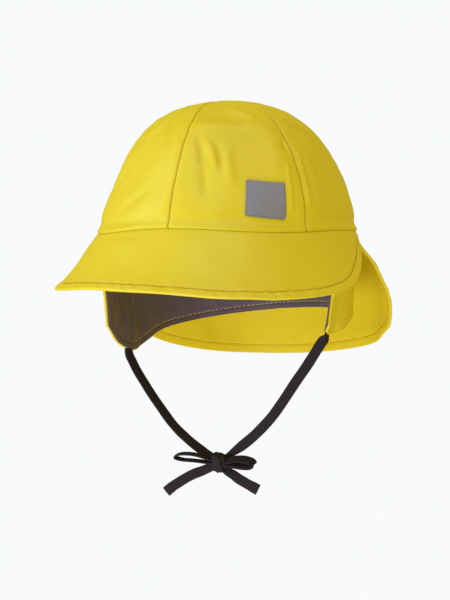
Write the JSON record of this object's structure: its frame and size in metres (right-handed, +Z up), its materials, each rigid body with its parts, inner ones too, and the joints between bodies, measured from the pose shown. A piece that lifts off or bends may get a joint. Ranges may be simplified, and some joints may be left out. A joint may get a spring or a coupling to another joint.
{
  "type": "child's rain hat with ear flaps and chin ties",
  "caption": "Child's sou'wester rain hat: panelled crown, stitched front brim, long neck flap, lined curtain with ear flaps, and flat chin ties knotted in a bow.",
  "frame": {"origin": "centre of the head opening, in the plane of the seam between crown and brim", "axes": "-Y out of the front of the hat, +X to the wearer's left, +Z up the crown"},
  "size_m": [0.1839, 0.2345, 0.2406],
  "materials": {
    "coated_fabric_yellow": "smooth coated rainwear fabric, semi-matt",
    "lining_dark_grey": "brushed knit lining, matt with a soft sheen",
    "reflective_film": "retroreflective film, matt grey in diffuse light",
    "tie_fabric_black": "flat woven tape, matt"
  },
  "bodies": {
    "root": {"crown_panel_front_left": "coated_fabric_yellow", "crown_panel_side_left": "coated_fabric_yellow", "crown_panel_back_left": "coated_fabric_yellow", "crown_panel_back_right": "coated_fabric_yellow", "crown_panel_side_right": "coated_fabric_yellow", "crown_panel_front_right": "coated_fabric_yellow", "brim": "coated_fabric_yellow", "neck_flap": "coated_fabric_yellow", "curtain_shell": "coated_fabric_yellow", "curtain_lining": "lining_dark_grey", "reflective_patch": "reflective_film", "tie_left": "tie_fabric_black", "tie_right": "tie_fabric_black", "bow_knot": "tie_fabric_black", "bow_loop_left": "tie_fabric_black", "bow_loop_right": "tie_fabric_black", "bow_tail_left": "tie_fabric_black", "bow_tail_right": "tie_fabric_black"}
  },
  "joints": []
}
